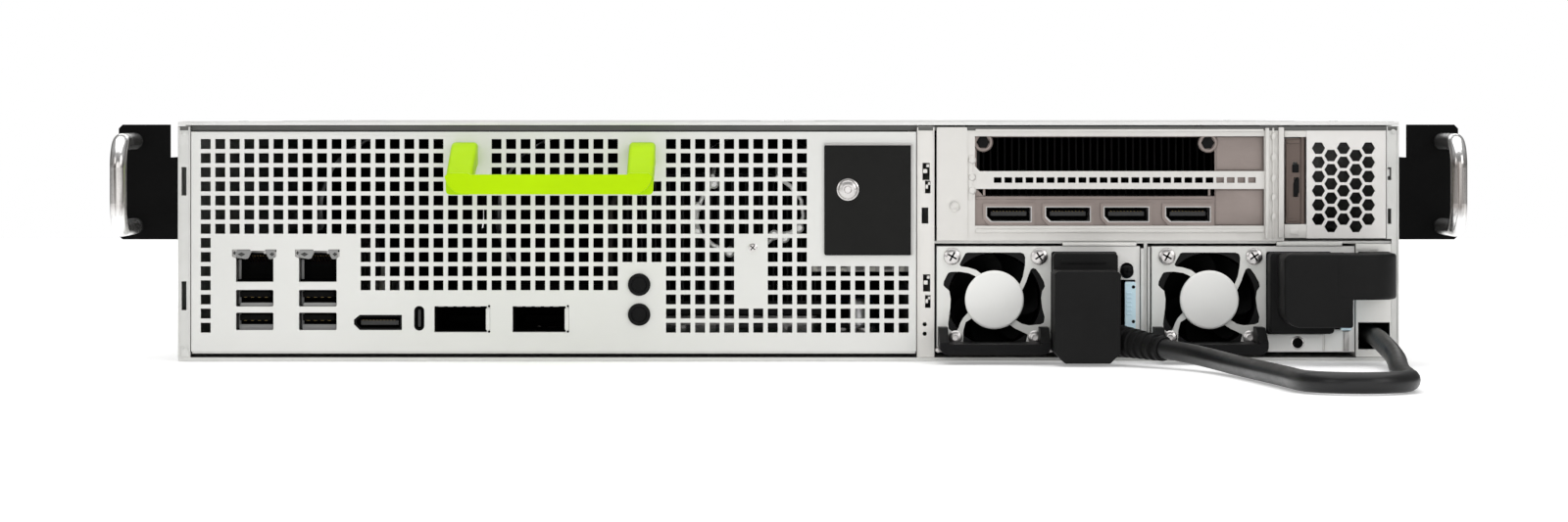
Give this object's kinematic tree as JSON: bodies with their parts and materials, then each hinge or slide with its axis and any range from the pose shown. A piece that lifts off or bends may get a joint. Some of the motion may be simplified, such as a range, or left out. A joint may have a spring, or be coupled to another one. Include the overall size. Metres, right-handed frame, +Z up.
{
  "type": "2u rack server",
  "caption": "Short-depth rack server, two units high, with a perforated pull-out port tray, expansion card bay, twin hot-swap power supplies and chrome-handled ears.",
  "frame": {"origin": "under the middle of the box of the server with its handles, on the surface that it stands on; the loose lead is left out of the box", "axes": "+Z up, -Y out of the front face with the ports, +X to the right of a viewer in front"},
  "size_m": [0.4826, 0.6474, 0.0862],
  "materials": {
    "chassis_steel": "satin zinc-plated sheet",
    "panel_steel": "light grey satin",
    "ear_black": "matte black",
    "chrome_rod": "polished",
    "fastener_steel": "plated",
    "lime_plastic": "moulded satin",
    "card_metal": "nickel, slightly brown",
    "jack_metal": "tinned shell",
    "black_plastic": "moulded",
    "psu_steel": "plated",
    "guard_white": "white satin",
    "latch_blue": "pale blue",
    "board_green": "circuit board lacquer",
    "fin_aluminium": "raw fins",
    "lead_rubber": "moulded lead"
  },
  "bodies": {
    "chassis": {"chassis_base": "chassis_steel", "bay_divider": "chassis_steel", "power_shelf": "chassis_steel", "rear_panel": "chassis_steel", "rack_ear_left": "ear_black", "rack_ear_right": "ear_black", "ear_handle_left": "chrome_rod", "ear_handle_right": "chrome_rod", "ear_screws": "fastener_steel", "cord_channel": "chassis_steel", "pcie_cage": "panel_steel", "vent_panel": "panel_steel", "card_bracket": "card_metal", "card_display_ports": "jack_metal", "card_circuit_board": "board_green", "card_heatsink": "fin_aluminium", "card_shroud": "black_plastic", "riser_board": "board_green", "fan_carrier": "black_plastic", "power_distribution_board": "board_green", "rear_inlets": "black_plastic"},
    "lid": {"top_cover": "chassis_steel", "cover_screws": "fastener_steel"},
    "io_tray": {"io_panel": "panel_steel", "tray_pan": "panel_steel", "pull_handle": "lime_plastic", "access_cover": "ear_black", "tray_screws": "fastener_steel", "motherboard": "board_green", "processor_heatsink": "fin_aluminium", "memory_modules": "board_green", "network_usb_jacks_1": "jack_metal", "network_usb_jacks_2": "jack_metal", "displayport_jack": "jack_metal", "usb_c_jack": "jack_metal", "module_cages": "jack_metal", "audio_jacks": "black_plastic"},
    "card_latch": {"card_retention_latch": "card_metal"},
    "card_blower": {"card_blower_rotor": "black_plastic"},
    "psu_1": {"psu_1_case": "psu_steel", "psu_1_fan_guard": "guard_white", "psu_1_handle": "black_plastic", "psu_1_inlet": "black_plastic"},
    "psu_1_fan": {"psu_1_fan_rotor": "black_plastic"},
    "psu_1_latch": {"psu_1_release_latch": "latch_blue"},
    "psu_2": {"psu_2_case": "psu_steel", "psu_2_fan_guard": "guard_white", "psu_2_handle": "black_plastic", "psu_2_inlet": "black_plastic", "plug_2": "lead_rubber", "cord_2": "lead_rubber"},
    "psu_2_fan": {"psu_2_fan_rotor": "black_plastic"},
    "psu_2_latch": {"psu_2_release_latch": "latch_blue"},
    "lead_1": {"plug_1": "lead_rubber", "cord_1": "lead_rubber", "cord_1_inner": "lead_rubber"},
    "chassis_fan_1": {"chassis_fan_rotor_1": "black_plastic"},
    "chassis_fan_2": {"chassis_fan_rotor_2": "black_plastic"},
    "chassis_fan_3": {"chassis_fan_rotor_3": "black_plastic"},
    "chassis_fan_4": {"chassis_fan_rotor_4": "black_plastic"}
  },
  "joints": [
    {"name": "lid_lift", "type": "slide", "parent": "chassis", "child": "lid", "axis": [0, 0, 1], "range_m": [0, 0.12]},
    {"name": "io_tray_slide", "type": "slide", "parent": "chassis", "child": "io_tray", "axis": [0, -1, 0], "range_m": [0, 0.28]},
    {"name": "card_latch_swing", "type": "hinge", "parent": "chassis", "child": "card_latch", "pos_m": [0.1853, -0.2022, 0.065], "axis": [0, 0, 1], "range_deg": [0, 95]},
    {"name": "card_blower_spin", "type": "hinge", "parent": "chassis", "child": "card_blower", "pos_m": [0.122, 0.0185, 0.064], "axis": [0, 0, 1], "continuous": true},
    {"name": "psu_1_slide", "type": "slide", "parent": "chassis", "child": "psu_1", "axis": [0, -1, 0], "range_m": [0, 0.18]},
    {"name": "psu_1_fan_spin", "type": "hinge", "parent": "psu_1", "child": "psu_1_fan", "pos_m": [0.07415, -0.1935, 0.02207], "axis": [0, 1, 0], "continuous": true},
    {"name": "psu_1_latch_press", "type": "slide", "parent": "psu_1", "child": "psu_1_latch", "axis": [-1, 0, 0], "range_m": [0, 0.002], "stiffness_N_per_m": 1500},
    {"name": "psu_2_slide", "type": "slide", "parent": "chassis", "child": "psu_2", "axis": [0, -1, 0], "range_m": [0, 0.18]},
    {"name": "psu_2_fan_spin", "type": "hinge", "parent": "psu_2", "child": "psu_2_fan", "pos_m": [0.15155, -0.1935, 0.02207], "axis": [0, 1, 0], "continuous": true},
    {"name": "psu_2_latch_press", "type": "slide", "parent": "psu_2", "child": "psu_2_latch", "axis": [-1, 0, 0], "range_m": [0, 0.002], "stiffness_N_per_m": 1500},
    {"name": "lead_1_pull", "type": "slide", "parent": "psu_1", "child": "lead_1", "axis": [0, -1, 0], "range_m": [0, 0.18]},
    {"name": "chassis_fan_1_spin", "type": "hinge", "parent": "chassis", "child": "chassis_fan_1", "pos_m": [-0.1756, 0.2225, 0.0429], "axis": [0, 1, 0], "continuous": true},
    {"name": "chassis_fan_2_spin", "type": "hinge", "parent": "chassis", "child": "chassis_fan_2", "pos_m": [-0.0941, 0.2225, 0.0429], "axis": [0, 1, 0], "continuous": true},
    {"name": "chassis_fan_3_spin", "type": "hinge", "parent": "chassis", "child": "chassis_fan_3", "pos_m": [-0.0126, 0.2225, 0.0429], "axis": [0, 1, 0], "continuous": true},
    {"name": "chassis_fan_4_spin", "type": "hinge", "parent": "chassis", "child": "chassis_fan_4", "pos_m": [0.0689, 0.2225, 0.0429], "axis": [0, 1, 0], "continuous": true}
  ],
  "couplings": [
    {"joint": "lead_1_pull", "follows": "psu_2_slide", "ratio": 1}
  ]
}
